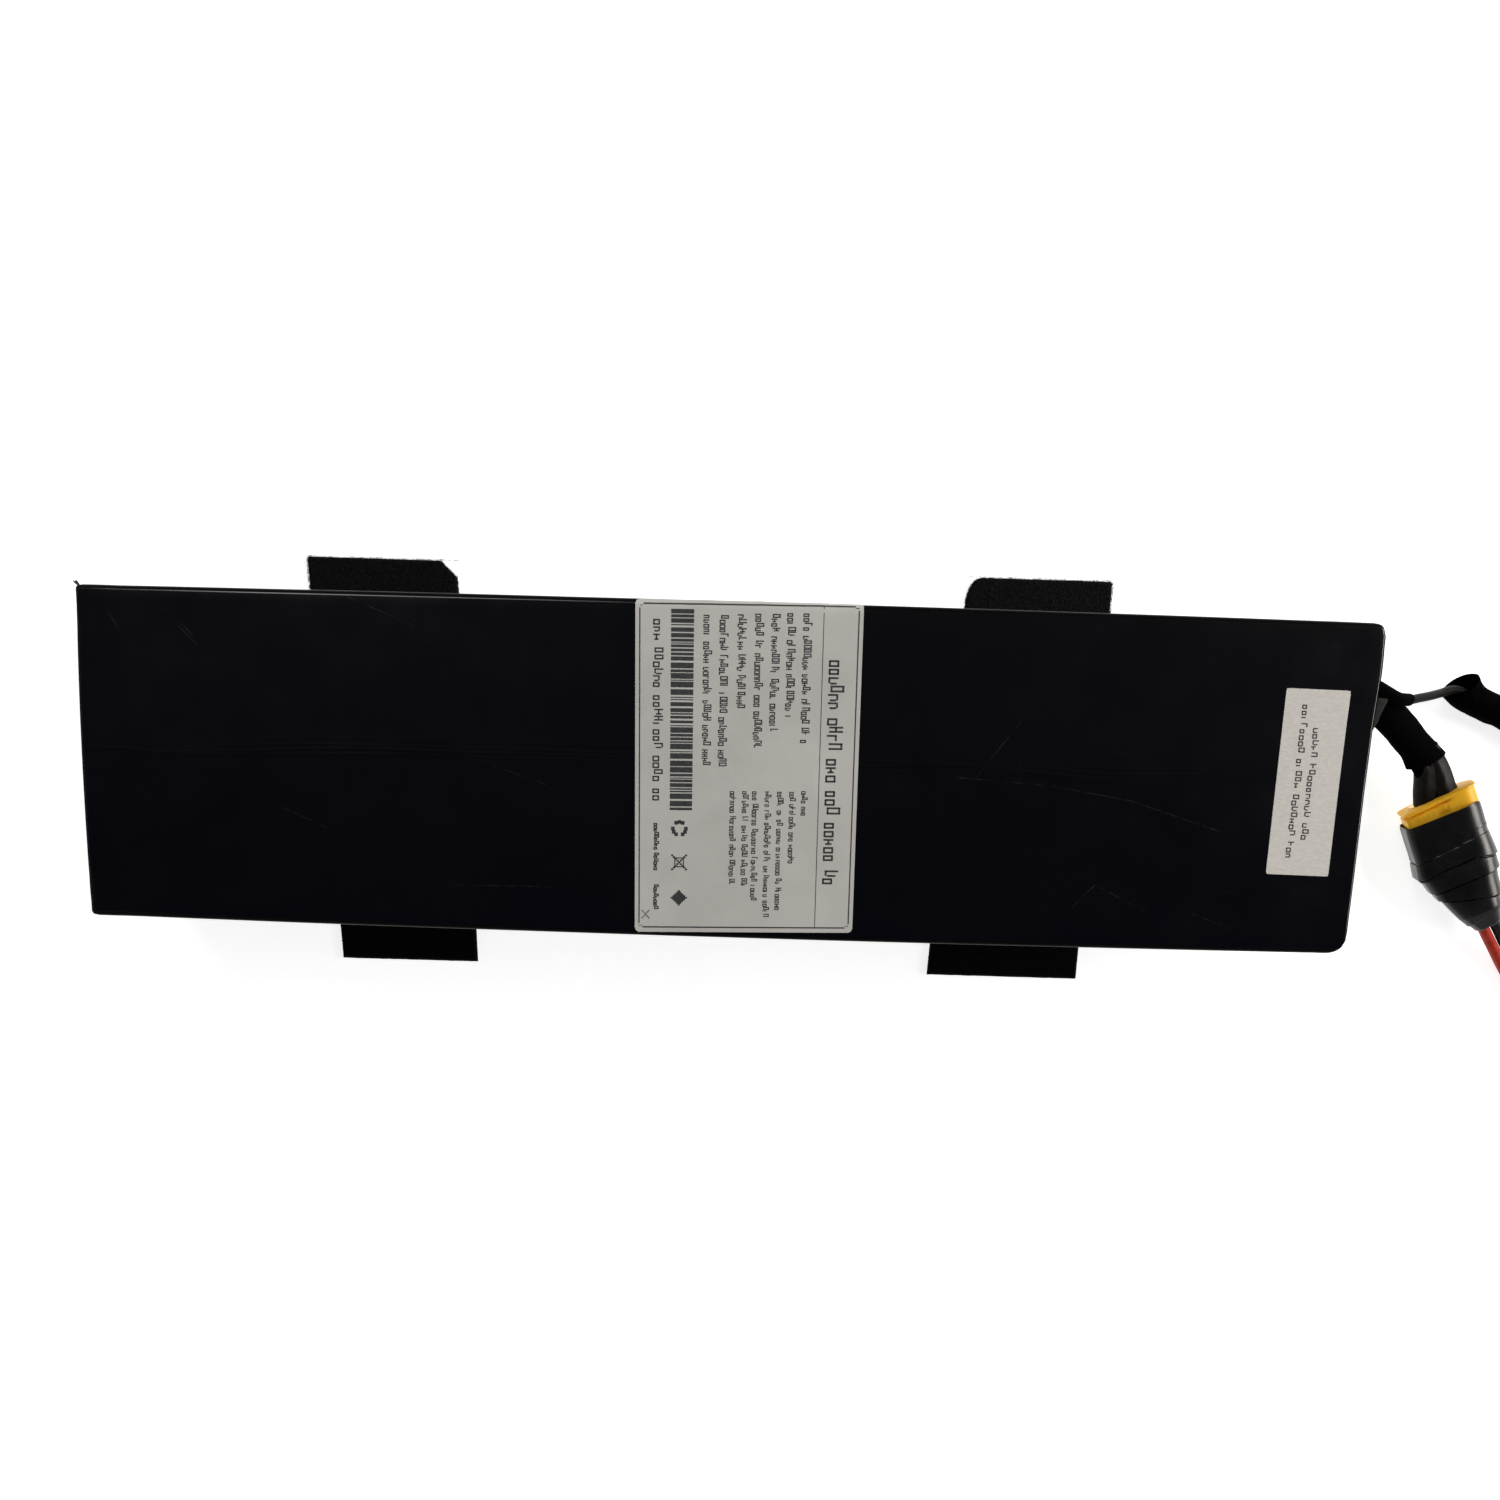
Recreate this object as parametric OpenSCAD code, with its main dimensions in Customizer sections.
// Rechargeable lithium-ion pack: ten series groups of three cylindrical cells in a heat-shrink film,
// on two hook-and-loop straps, with a plugged and taped discharge lead and a charge lead.
// Millimetres. +X runs along the pack towards the leads, +Z up, z = 0 under the straps.

/* [Pack] */
// Length of the wrapped pack along X
pack_length = 290; // [290:1:296]
// Width of the wrapped pack along Y
pack_width = 73.7; // [73.7:0.1:76]
// Height of the wrapped pack, without the straps
pack_height = 39.5; // [39.5:0.1:41]
// Thickness of the heat-shrink film
film = 0.4; // [0.3:0.05:0.4]
// Outer radius of the wrapped edges
edge_radius = 1.2; // [1:0.1:1.6]
// How far the film turns in over each end face
end_lip = 5.5; // [4:0.5:8]

/* [Straps] */
// Thickness of each hook-and-loop strap
strap_thickness = 1.5; // [1:0.1:2.5]
// Half the length of each strap across the pack
strap_reach = 51; // [45:1:60]

/* [Labels] */
// Thickness of the printed labels
label_thickness = 0.12; // [0.1:0.01:0.2]
// Size of the printed label along X
label_length = 50.6; // [40:0.1:60]
// Size of the small sticker along X and Y
sticker_size = [14.3, 41.8];

/* [Cells] */
// Diameter of a wrapped cell
cell_d = 18.2; // [18:0.05:18.3]
// Length of a cell with its positive cap
cell_length = 65; // [64:0.1:65.2]
// Distance between neighbouring cells along X
cell_pitch = 18.5; // [18.4:0.05:18.6]
// Distance between the two layers
layer_pitch = 18.7; // [18.6:0.05:18.8]

/* [Boards and wires] */
// Thickness of the glass-fibre boards around the cells
board = 0.8; // [0.5:0.1:0.8]
// Thickness of the nickel strips
nickel = 0.2; // [0.1:0.05:0.2]
// Width of the nickel strips
nickel_width = 8; // [6:0.5:10]
// Outer diameter of the discharge wires
wire_d = 2.8; // [2.5:0.1:2.9]

/* [Connector] */
// Width and thickness of the connector housings
connector_size = [16.4, 8.2];
// Distance between the two contacts
contact_pitch = 7.2; // [7:0.1:7.4]
// Diameter of the plug's round pins
pin_d = 3.5; // [3.3:0.05:3.5]

/* [Hidden] */
$fn = 48;
slack = 0.1;
columns = 15;
cells_per_group = 3;
groups_per_layer = columns / cells_per_group;

bottom_z = strap_thickness;
top_z = bottom_z + pack_height;
mid_z = bottom_z + pack_height / 2;
inside = [pack_length, pack_width, pack_height] - 2 * film * [1, 1, 1];

// Stack of pieces at the two ends and the two sides of the cells
end_foam = 1.2;
first_x = -inside[0] / 2 + board + end_foam + cell_d / 2;
low_z = bottom_z + film + board + slack + cell_d / 2;
cell_end_x = first_x + (columns - 1) * cell_pitch + cell_d / 2;
cap_height = 0.4;
paper = 0.3;
foam = 2;
nickel_y = cell_length / 2;
paper_y = nickel_y + nickel + slack;
foam_y = paper_y + paper;
side_board_y = inside[1] / 2 - board;
paper_z = [low_z - cell_d / 2, low_z + layer_pitch + cell_d / 2];
channel_z = [low_z + layer_pitch / 2 - 2.5, low_z + layer_pitch / 2 + 2.5];

// Protection circuit board in the bay at the +X end
pcb = 1.6;
pcb_x = cell_end_x + 2;
pcb_face = pcb_x + pcb;
pcb_size = [64, 32];
right_board_x = inside[0] / 2 - board;

// Opening in the right-hand end, where the leads come out
exit_y = [18, 30.5];
exit_z = [12.5, 28];
exit_x = pack_length / 2 + 2;
sealant_start = right_board_x - 0.1;

// Leads inside the bay: diameter, and where they run beside the plates, the pads and the end board
inner_d = wire_d - 0.4;
lead_y = nickel_y + nickel + inner_d / 2;
pad_x = pcb_face + 1.2 + inner_d / 2;
bay_x = right_board_x - 0.8 - inner_d / 2;

// Plugged connector: rear centre, heading in plan and roll about its own axis
plug_at = [180.4, -1, 7];
plug_heading = -65;
plug_roll = 18;
body_end = 8;
nose_end = 16;
mate_start = 8.3;
mate_end = 19.4;
mate_rear_end = 22.4;
tape_start = 4.4;
socket_wall = 0.5;
pin_clearance = 0.07;

// Taped tail: centre, heading, width and thickness of each section, and the depth of tape at a section
tape_slab = 0.3;
tail = [
  [[188.3, -17.9, 7], -65, [17.6, 9.6]],
  [[191.9, -23.2, 6.8], -62, [13.4, 9]],
  [[196, -28.5, 6.5], -57, [10.2, 8.2]],
  [[199.3, -32.5, 5.9], -52, [7.6, 6.2]]
];

// Routes of the free leads, chosen point by point
discharge_route = [
  [147, 25, 17.5], [150, 25, 17.5], [153.4, 24.2, 17.5], [157, 22.4, 17.2], [160.6, 20, 16.3],
  [164.6, 17.4, 14.6], [168.6, 14.6, 12.5], [172.4, 11.8, 10.7], [175.4, 9.2, 9.4]
];
shrink_route = [
  [175.4, 9.2, 9.4], [177.2, 6.8, 8.4], [178.6, 4, 7.6], [179.6, 1.2, 7.1], [180.4, -1, 7]
];
red_route = [
  [198.2, -33.4, 5.6], [200.2, -35.8, 4.7], [202.8, -39, 3.7], [205.6, -42.6, 2.7], [208.2, -45.9, 2],
  [211.6, -50.2, 1.7], [216, -54.6, 1.6], [221.4, -58.4, 1.7], [226.8, -60.8, 2.1], [231.4, -61.7, 2.9],
  [236, -61.8, 3.6]
];
black_route = [
  [200.5, -31.6, 6.1], [202.6, -34.1, 5.3], [205.2, -37.3, 4.1], [208.1, -40.8, 2.9], [210.8, -44.1, 2.1],
  [214.6, -48.2, 1.7], [219.2, -52, 1.6], [223.8, -54.6, 1.8], [228.4, -56, 2.3], [232.2, -56.4, 3],
  [236, -56.4, 3.6]
];
charge_route = [
  [147, 26.5, 24.5], [150.2, 26.2, 24.4], [153.6, 25.1, 23.9], [156.8, 24, 22.7], [161.1, 22.6, 20.8],
  [165.3, 22.6, 18.2], [169.5, 23.4, 15.4], [173.5, 24.2, 12.5], [177.7, 25.2, 9.3], [181.7, 26.3, 6.9],
  [185.3, 26.3, 5.1], [189.2, 24.7, 4.2], [192.9, 23.1, 3.8], [196.7, 21.7, 3.7], [201.4, 19.4, 3.6],
  [207.4, 15.4, 3.6], [213.5, 12.4, 3.6], [220, 11.3, 3.7], [226, 11.2, 3.8]
];
boot_points = 6;
sleeve_route = [
  [183.2, 26.8, 5], [185.6, 26.1, 4.5], [188.9, 24.9, 3.9], [193.1, 23.1, 3.6], [196.8, 21.7, 3.6],
  [201.4, 19.4, 3.6], [207.4, 15.4, 3.6], [213.5, 12.4, 3.6], [221, 11.2, 3.6]
];
discharge_size = [8.4, 5.2];
shrink_size = [10.2, 5.8];
charge_d = 2.2;
sleeve_d = 7;
sleeve_wall = 0.4;

// Generic two-pole sockets at the far ends: start, width and height, length, contact pitch, pin size
load_socket_at = [236, -59.1, 3.6];
load_socket_size = [18, 11.4, 7.2];
load_pitch = 5.4;
load_pin_d = 3.5;
charge_socket_at = [226, 11.2, 3.8];
charge_socket_size = [14, 10.4, 6.4];
charge_pitch = 5;
charge_pin_d = 2;

function unit(v) = v / norm(v);
function column_x(i) = first_x + i * cell_pitch;
function layer_z(top) = low_z + (top ? layer_pitch : 0);
// Groups 1 to 5 fill the upper layer from the leads' end, groups 6 to 10 the lower layer back again
function group_is_top(g) = g <= groups_per_layer;
function group_slot(g) = group_is_top(g) ? groups_per_layer - g : g - groups_per_layer - 1;
// The side, 1 for +Y and -1 for -Y, that a group's positive ends face
function group_side(g) = g % 2 == 1 ? 1 : -1;

// ---------- plain shapes ----------

module rounded_rect(size, r) {
  square([size[0] - 2 * r, size[1]], center = true);
  square([size[0], size[1] - 2 * r], center = true);
  for (x = [-1, 1], y = [-1, 1])
    translate([x * (size[0] / 2 - r), y * (size[1] / 2 - r)]) circle(r);
}

module rounded_block(size, r) {
  intersection() {
    translate([0, 0, -size[2] / 2]) linear_extrude(size[2]) rounded_rect([size[0], size[1]], r);
    translate([0, size[1] / 2, 0]) rotate([90, 0, 0])
      linear_extrude(size[1]) rounded_rect([size[0], size[2]], r);
    translate([-size[0] / 2, 0, 0]) rotate([90, 0, 90])
      linear_extrude(size[0]) rounded_rect([size[1], size[2]], r);
  }
}

// A box from its lowest to its highest corner
module span(low, high) {
  translate(low) cube(high - low);
}

// A round bar along Y
module bar_y(at, d, length) {
  translate(at) rotate([-90, 0, 0]) cylinder(d = d, h = length);
}

// A round bar along X
module bar_x(at, d, length) {
  translate(at) rotate([0, 90, 0]) cylinder(d = d, h = length);
}

// ---------- swept leads ----------

function heading(points, i, first, last) =
  let (n = len(points) - 1)
  i == 0 ? (is_undef(first) ? unit(points[1] - points[0]) : first) :
  i == n ? (is_undef(last) ? unit(points[n] - points[n - 1]) : last) :
  unit(points[i + 1] - points[i - 1]);

function ring(centre, along, size, roll, sides) =
  let (
    across = unit(cross(along, [0, 0, 1])),
    up = cross(across, along),
    wide = across * cos(roll) + up * sin(roll),
    tall = up * cos(roll) - across * sin(roll)
  )
  [for (k = [0 : sides - 1])
    centre + wide * size[0] / 2 * cos(360 * k / sides) + tall * size[1] / 2 * sin(360 * k / sides)];

module swept_tube(points, size, sides, first = undef, last = undef, rolls = [0, 0]) {
  n = len(points) - 1;
  rings = [for (i = [0 : n])
    each ring(points[i], heading(points, i, first, last), size,
              rolls[0] + (rolls[1] - rolls[0]) * i / n, sides)];
  walls = [for (i = [0 : n - 1], k = [0 : sides - 1])
    let (a = i * sides + k, b = i * sides + (k + 1) % sides)
    each [[a, b, b + sides], [a, b + sides, a + sides]]];
  caps = [
    [for (k = [sides - 1 : -1 : 0]) k],
    [for (k = [0 : sides - 1]) n * sides + k]
  ];
  polyhedron(rings, concat(walls, caps), convexity = 6);
}

// Cuts each corner of a wire's route back by r, so that it bends in two steps
function eased(points, r) =
  let (n = len(points) - 1)
  [
    points[0],
    for (i = [1 : n - 1]) each [
      points[i] + r * unit(points[i - 1] - points[i]),
      points[i] + r * unit(points[i + 1] - points[i])
    ],
    points[n]
  ];

module bent_wire(points, d, last = undef) {
  swept_tube(eased(points, 0.7), [d, d], 8, last = last);
}

// ---------- outer wrap ----------

module wrap_block(grow) {
  translate([0, 0, mid_z])
    rounded_block([pack_length, pack_width, pack_height] + 2 * grow * [1, 1, 1],
                  edge_radius + grow);
}

module shrink_sleeve() {
  window = [pack_width - 2 * end_lip, pack_height - 2 * end_lip];
  color("#101216") difference() {
    wrap_block(0);
    wrap_block(-film);
    for (side = [-1, 1]) translate([side * pack_length / 2, 0, mid_z])
      cube([edge_radius * 2, window[0], window[1]], center = true);
  }
}

module on_top(low, high) {
  intersection() {
    difference() {
      wrap_block(label_thickness);
      wrap_block(0);
    }
    span([low[0], low[1], top_z - edge_radius], [high[0], high[1], top_z + 1]);
  }
}

module info_label() {
  color("#a9a9a2") on_top([-20.8, -35.6], [-20.8 + label_length, 36.6]);
}

module warranty_sticker() {
  color("#c4c4be") on_top([124.9, -19.4], [124.9, -19.4] + sticker_size);
}

// A strap under the pack, with its two edges along X at the +Y end and at the -Y end and its two cut corners
module strap(far, near, cut) {
  y = strap_reach;
  slope = (far - near) / (2 * y);
  linear_extrude(strap_thickness) polygon([
    [near[0], -y], [near[1], -y],
    [far[1] - slope[1] * cut[1], y - cut[1]], [far[1] - cut[1], y],
    [far[0] + cut[0], y], [far[0] - slope[0] * 2 * cut[0], y - 2 * cut[0]]
  ]);
}

module left_strap() {
  color("#15171c") strap([-106.8, -69.7], [-101.1, -65.5], [0.4, 4]);
}

module right_strap() {
  color("#15171c") strap([58.3, 95.8], [54.2, 94], [3.4, 0.4]);
}

// ---------- boards, foam and paper around the cells ----------

module flat_board(z) {
  color("#1f5f45") translate([0, 0, z + board / 2])
    cube([inside[0] - 4.6, inside[1] - 4.6, board], center = true);
}

module top_board() {
  flat_board(top_z - film - board);
}

module bottom_board() {
  flat_board(bottom_z + film);
}

module side_boards() {
  half = inside[0] / 2 - 2.3;
  color("#1f5f45") for (side = [0, 1]) mirror([0, side, 0])
    span([-half, side_board_y, bottom_z + 3], [half, side_board_y + board, top_z - 3]);
}

module foam_strips() {
  color("#3a3a3a") for (side = [0, 1], z = [[paper_z[0] + 1, channel_z[0]], [channel_z[1], paper_z[1] - 1]])
    mirror([0, side, 0])
      span([first_x - cell_d / 2, foam_y, z[0]], [cell_end_x, foam_y + foam, z[1]]);
}

module insulation_papers() {
  color("#c8a25a") for (side = [0, 1]) mirror([0, side, 0])
    span([first_x - cell_d / 2, paper_y, paper_z[0]], [cell_end_x, paper_y + paper, paper_z[1]]);
}

module end_board_left() {
  x = -inside[0] / 2;
  color("#1f5f45") span([x, -34, bottom_z + 3], [x + board, 34, top_z - 3]);
}

module end_foam_left() {
  x = -inside[0] / 2 + board;
  color("#3a3a3a") span([x, -32, low_z - 8], [x + end_foam - slack, 32, layer_z(true) + 8]);
}

module end_board_right() {
  color("#1f5f45") difference() {
    span([right_board_x, -34, bottom_z + 3], [right_board_x + board, 34, top_z - 3]);
    span([right_board_x - 1, exit_y[0], exit_z[0]], [right_board_x + 2, exit_y[1], exit_z[1]]);
  }
}

module bms_insulator() {
  color("#c8a25a") span([cell_end_x + 0.3, -32, bottom_z + 3], [cell_end_x + 0.8, 32, top_z - 3]);
}

module paper_separators() {
  half = cell_length / 2;
  color("#c8a25a") {
    span([first_x - cell_d / 2, -half, low_z + layer_pitch / 2 - 0.15],
         [cell_end_x, half, low_z + layer_pitch / 2 + 0.15]);
    for (g = [1 : groups_per_layer - 1], top = [false, true]) {
      x = column_x(g * cells_per_group) - cell_pitch / 2;
      span([x - 0.1, -half, layer_z(top) - 8], [x + 0.1, half, layer_z(top) + 8]);
    }
  }
}

// ---------- cells ----------

// A wrapped can along Y, its positive end towards side
module cell_can(at, side) {
  r = cell_d / 2;
  length = cell_length - cap_height;
  translate(at) rotate([-90 * side, 0, 0]) translate([0, 0, -cell_length / 2])
    rotate_extrude() polygon([
      [0, 0], [r - 0.6, 0], [r, 0.6], [r, length - 4], [r - 0.5, length - 3.5],
      [r - 0.5, length - 2.7], [r, length - 2.2], [r, length - 0.5], [r - 0.5, length], [0, length]
    ]);
}

module cell_group(g) {
  tint = group_is_top(g) ? "#2f7fb8" : "#2a6fa3";
  color(tint) for (i = [0 : cells_per_group - 1])
    cell_can([column_x(group_slot(g) * cells_per_group + i), 0, layer_z(group_is_top(g))],
             group_side(g));
}

// Runs its children at the positive end of every cell, with +Z pointing out of the cell
module at_positive_ends() {
  for (g = [1 : 2 * groups_per_layer], i = [0 : cells_per_group - 1])
    translate([column_x(group_slot(g) * cells_per_group + i), 0, layer_z(group_is_top(g))])
      rotate([-90 * group_side(g), 0, 0])
        translate([0, 0, cell_length / 2 - cap_height]) children();
}

module cell_caps() {
  color("silver") at_positive_ends() cylinder(d = 8.6, h = cap_height);
}

module insulator_rings() {
  color("white") at_positive_ends() difference() {
    cylinder(d = 17, h = 0.2);
    translate([0, 0, -1]) cylinder(d = 9.2, h = 2);
  }
}

// ---------- nickel ----------

// A welded strip over columns a to b of the layers in tops, on the side at y
module nickel_plate(a, b, tops, side) {
  low = layer_z(tops[0]) - nickel_width / 2;
  high = layer_z(tops[1]) + nickel_width / 2;
  mirror([0, side < 0 ? 1 : 0, 0]) difference() {
    span([column_x(a) - 6, nickel_y, low], [column_x(b) + 6, nickel_y + nickel, high]);
    for (i = [a : b], top = tops)
      span([column_x(i) - 0.5, nickel_y - 1, layer_z(top) - 2.5],
           [column_x(i) + 0.5, nickel_y + 1, layer_z(top) + 2.5]);
  }
}

module nickel_links_front() {
  color("#b8bcc0") {
    for (top = [false, true], a = [3, 9]) nickel_plate(a, a + 5, [top, top], -1);
    nickel_plate(0, 2, [false, true], -1);
  }
}

module nickel_links_rear() {
  color("#b8bcc0") for (top = [false, true], a = [0, 6])
    nickel_plate(a, a + 5, [top, top], 1);
}

module terminal_plates() {
  color("#b8bcc0") for (top = [false, true]) {
    nickel_plate(12, 14, [top, top], 1);
    span([column_x(14) + 6, nickel_y, layer_z(top) - 3],
         [pcb_face + 1.4, nickel_y + nickel, layer_z(top) + 3]);
  }
}

// ---------- protection circuit ----------

module bms_board() {
  color("#14613c") translate([pcb_x, -pcb_size[0] / 2, mid_z - pcb_size[1] / 2])
    cube([pcb, pcb_size[0], pcb_size[1]]);
}

// A part of the given size on the board's outer face, its middle at y and z
module on_board(y, z, size) {
  translate([pcb_face, y - size[1] / 2, z - size[2] / 2]) cube(size);
}

module bms_mosfets() {
  color("#222222") for (i = [0 : 5]) on_board(-27 + 8 * i, mid_z - 10, [2.3, 6.6, 6.1]);
}

module bms_resistors() {
  color("#3c3c3c") {
    for (i = [0 : 9]) on_board(-28 + 4 * i, mid_z + 13, [0.6, 1.6, 3.2]);
    for (y = [-28, -20]) on_board(y, mid_z - 1.5, [0.7, 6.3, 3.1]);
  }
}

module bms_chips() {
  color("#1a1a1a") for (y = [-8, 3]) on_board(y, mid_z + 5, [1.5, 5, 5]);
}

module balance_header() {
  color("#e8e2d0") on_board(-3, mid_z - 2, [4.4, 24, 3.4]);
}

module balance_plug() {
  color("#e8e2d0") translate([pcb_face + 0.4, -14, mid_z - 0.3]) cube([3.6, 22, 2]);
}

// Voltage sense wires: out of the plug's ends, across the board and back along the cells
module sense_leads() {
  side_y = foam_y + 0.9;
  color("#b02020") for (side = [-1, 1], i = [0 : 2]) {
    plug_x = pcb_face + 1 + 1.15 * i;
    flat_x = pcb_face + 1.3;
    z = mid_z + 1.8 * (i - 1);
    plug_end = side < 0 ? -14 : 8;
    bent_wire([
      [plug_x, plug_end, mid_z + 0.7], [plug_x, plug_end + 3 * side, mid_z + 0.7],
      [flat_x, plug_end + 10 * side, z], [flat_x, side * side_y, z],
      [column_x(12 - 5 * i), side * side_y, z]
    ], 0.9);
  }
}

module temperature_probe() {
  x = column_x(13) + cell_pitch / 2;
  z = layer_z(true) + cell_d / 2 - 1.9;
  color("#202020") {
    bar_y([x, -4, z], 3, 9);
    bar_y([x, 5, z], 1.1, 24);
  }
}

// The leads inside the bay, from the terminal plates and the board to the sealed exit
module positive_lead() {
  color("#c81e1e") bent_wire([
    [cell_end_x + 2, lead_y, layer_z(true)], [bay_x - 1, lead_y, layer_z(true)],
    [bay_x, 31.4, 26], [bay_x, 30.4, 20], [bay_x, 28.6, 17.8], [sealant_start, 27.2, 17.5]
  ], inner_d, last = [1, 0, 0]);
}

module negative_lead() {
  pad_z = mid_z - 11;
  color("#181818") {
    for (y = [20, 27]) on_board(y, pad_z, [1.2, 4, 4]);
    bent_wire([
      [cell_end_x + 2, lead_y, low_z], [pad_x, lead_y, low_z], [pad_x, 31, 10.8], [pad_x, 25.2, pad_z]
    ], inner_d);
    bent_wire([
      [pad_x, 18, pad_z], [pad_x, 21.5, 10.8], [bay_x, 22.8, 14], [bay_x, 22.8, 16.6],
      [sealant_start, 22.8, 17.5]
    ], inner_d, last = [1, 0, 0]);
  }
}

module charge_wires() {
  color("#8c1c1c") for (i = [0, 1])
    bent_wire([
      [pcb_face + 0.7, 12 + 3 * i, mid_z + 9.6], [pcb_face + 0.7, 14.5 + 3 * i, mid_z + 9.2],
      [bay_x, 25.4 + 1.8 * i, 26], [sealant_start, 25.4 + 1.8 * i, 24.8]
    ], 1.3, last = [1, 0, 0]);
}

// Cast silicone that holds the leads in the end board's slot
module exit_sealant() {
  size = [exit_x - sealant_start, exit_y[1] - exit_y[0] - 0.2, exit_z[1] - exit_z[0] - 0.2];
  color("#2a2a2a")
    translate([sealant_start, (exit_y[0] + exit_y[1]) / 2, (exit_z[0] + exit_z[1]) / 2])
      rotate([90, 0, 90]) linear_extrude(size[0]) rounded_rect([size[1], size[2]], 2);
}

// ---------- discharge lead and its connector ----------

plug_axis = [cos(plug_heading), sin(plug_heading), 0];

module discharge_cable() {
  color("#101010") swept_tube(discharge_route, discharge_size, 12, first = [1, 0, 0]);
}

module connector_shrink() {
  start = unit(discharge_route[8] - discharge_route[7]);
  color("#1c1a1a")
    swept_tube(shrink_route, shrink_size, 12, first = start, last = plug_axis, rolls = [0, -plug_roll]);
}

// Places its children on the plug's axis: +X towards the mating half, +Y across the wide face
module on_plug(s = 0) {
  translate(plug_at) rotate([plug_roll, 0, plug_heading]) translate([s, 0, 0]) children();
}

// Extrudes its 2D children, drawn across and up, along the plug's axis from s to s + length
module along_plug(s, length) {
  on_plug(s) rotate([90, 0, 90]) linear_extrude(length) children();
}

// A rectangle with the two corners at +X cut, as polarised connectors have
module keyed_rect(size, cut) {
  w = size[0] / 2;
  h = size[1] / 2;
  polygon([[-w, -h], [w - cut, -h], [w, cut - h], [w, h - cut], [w - cut, h], [-w, h]]);
}

module contact_holes(s, length, d) {
  for (side = [-1, 1]) on_plug(s) translate([0, side * contact_pitch / 2, 0])
    rotate([0, 90, 0]) cylinder(d = d, h = length);
}

module battery_connector() {
  rim = 0.6 * [1, 1];
  color("#eeaf28") difference() {
    union() {
      along_plug(0, 1.1) keyed_rect(connector_size + rim, 2.6);
      along_plug(1.1, body_end - 1.1) keyed_rect(connector_size, 2.4);
      along_plug(body_end, nose_end - body_end) keyed_rect(connector_size - 2.2 * [1, 1], 1.8);
    }
    contact_holes(-1, nose_end + 2, pin_d + 2 * (pin_clearance + socket_wall) + 0.04);
  }
}

module battery_contacts() {
  outer = pin_d + 2 * (pin_clearance + socket_wall);
  color("#d9b24c") difference() {
    contact_holes(0, nose_end - 0.6, outer);
    contact_holes(3, nose_end, pin_d + 2 * pin_clearance);
  }
}

module mating_connector() {
  color("#eeaf28") difference() {
    union() {
      along_plug(mate_start, mate_end - mate_start) keyed_rect(connector_size, 2.4);
      along_plug(mate_end, mate_rear_end - mate_end) keyed_rect([12, 6], 1);
    }
    along_plug(mate_start - 1, nose_end + 1.4 - mate_start)
      keyed_rect(connector_size - 1.6 * [1, 1], 1.8);
    contact_holes(nose_end - 1, mate_rear_end, pin_d + 0.04);
  }
}

module mating_pins() {
  color("#d9b24c") contact_holes(4.5, mate_rear_end - 4.5, pin_d);
}

module tape_section(section) {
  translate(section[0]) rotate([plug_roll, 0, section[1]]) rotate([90, 0, 90])
    translate([0, 0, -tape_slab]) linear_extrude(tape_slab) rounded_rect(section[2], 3);
}

module tape_wrap() {
  color("#17181b") difference() {
    union() {
      along_plug(tape_start, 14.4) rounded_rect([18.2, 10], 3);
      for (i = [0 : len(tail) - 2]) hull() {
        tape_section(tail[i]);
        tape_section(tail[i + 1]);
      }
    }
    along_plug(tape_start - 1, mate_start - tape_start + 1) keyed_rect(connector_size + 0.7 * [1, 1], 1.6);
    along_plug(tape_start, mate_end - tape_start) keyed_rect(connector_size + 0.02 * [1, 1], 2.4);
    along_plug(mate_end - 1, mate_rear_end - mate_end + 1) keyed_rect([12.02, 6.02], 1);
  }
}

tail_axis = [cos(tail[3][1]), sin(tail[3][1]), 0];

module load_wire_red() {
  color("#c22b1f")
    swept_tube(red_route, wire_d * [1, 1], 8, first = tail_axis, last = [1, 0, 0]);
}

module load_wire_black() {
  color("#141414")
    swept_tube(black_route, wire_d * [1, 1], 8, first = tail_axis, last = [1, 0, 0]);
}

// ---------- far-end sockets ----------

module two_holes(at, pitch, d, start, length) {
  for (side = [-1, 1]) bar_x(at + [start, side * pitch / 2, 0], d, length);
}

module socket_housing(at, size, pitch, d) {
  difference() {
    translate(at) rotate([90, 0, 90]) linear_extrude(size[0]) keyed_rect([size[1], size[2]], 1.2);
    two_holes(at, pitch, d + 1.04, 2, size[0]);
  }
}

module socket_tubes(at, size, pitch, d) {
  difference() {
    two_holes(at, pitch, d + 1, 2, size[0] - 2.6);
    two_holes(at, pitch, d, 4, size[0]);
  }
}

module load_socket() {
  color("#202226")
    socket_housing(load_socket_at, load_socket_size, load_pitch, load_pin_d);
}

module load_contacts() {
  color("#d9b24c")
    socket_tubes(load_socket_at, load_socket_size, load_pitch, load_pin_d);
}

// ---------- charge lead ----------

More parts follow.
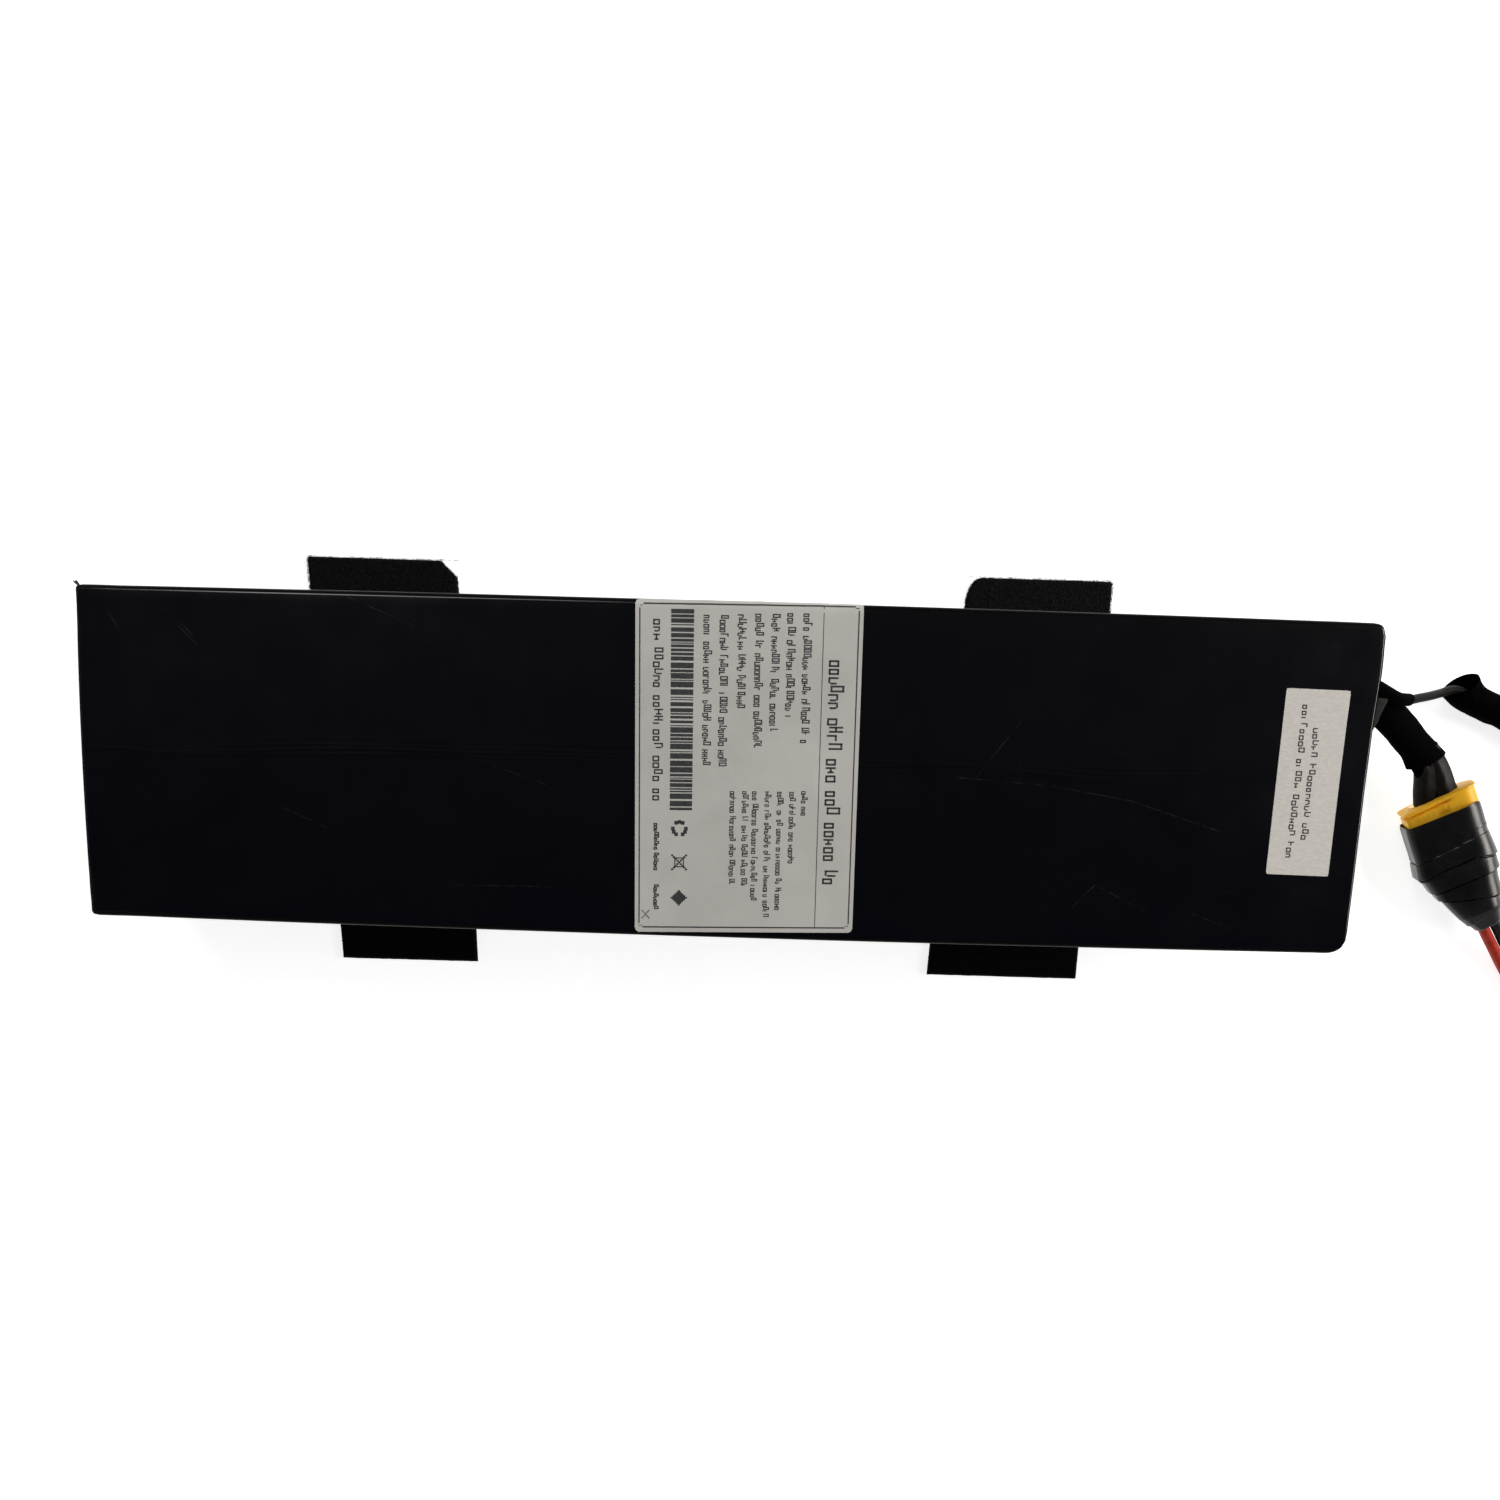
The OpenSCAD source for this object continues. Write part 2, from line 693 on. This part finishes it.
module charge_lead() {
  color("#2b2724")
    swept_tube(charge_route, charge_d * [1, 1], 8, first = [1, 0, 0], last = [1, 0, 0]);
}

// A shrink boot around the first stretch of the charge lead
module charge_lead_boot() {
  boot = [for (i = [0 : boot_points - 1]) charge_route[i]];
  color("#191919") difference() {
    swept_tube(boot, (charge_d + 1) * [1, 1], 8, first = [1, 0, 0]);
    swept_tube(charge_route, charge_d * [1, 1], 8, first = [1, 0, 0], last = [1, 0, 0]);
  }
}

module charge_lead_sleeve() {
  color("#141414") difference() {
    swept_tube(sleeve_route, sleeve_d * [1, 1], 12);
    swept_tube(concat([[180.4, 27.5, 5.6]], sleeve_route, [[224, 11, 3.6]]),
               (sleeve_d - 2 * sleeve_wall) * [1, 1], 12);
  }
}

module charge_socket() {
  color("#202226") socket_housing(charge_socket_at, charge_socket_size, charge_pitch, charge_pin_d);
}

module charge_contacts() {
  color("#d9b24c") socket_tubes(charge_socket_at, charge_socket_size, charge_pitch, charge_pin_d);
}

shrink_sleeve();
info_label();
warranty_sticker();
left_strap();
right_strap();
top_board();
bottom_board();
side_boards();
foam_strips();
insulation_papers();
end_board_left();
end_foam_left();
end_board_right();
bms_insulator();
paper_separators();
cell_group(1);  // cell_group_01
cell_group(2);  // cell_group_02
cell_group(3);  // cell_group_03
cell_group(4);  // cell_group_04
cell_group(5);  // cell_group_05
cell_group(6);  // cell_group_06
cell_group(7);  // cell_group_07
cell_group(8);  // cell_group_08
cell_group(9);  // cell_group_09
cell_group(10);  // cell_group_10
cell_caps();
insulator_rings();
nickel_links_front();
nickel_links_rear();
terminal_plates();
bms_board();
bms_mosfets();
bms_resistors();
bms_chips();
balance_header();
balance_plug();
sense_leads();
temperature_probe();
positive_lead();
negative_lead();
charge_wires();
exit_sealant();
discharge_cable();
connector_shrink();
battery_connector();
battery_contacts();
mating_connector();
mating_pins();
tape_wrap();
load_wire_red();
load_wire_black();
load_socket();
load_contacts();
charge_lead();
charge_lead_boot();
charge_lead_sleeve();
charge_socket();
charge_contacts();
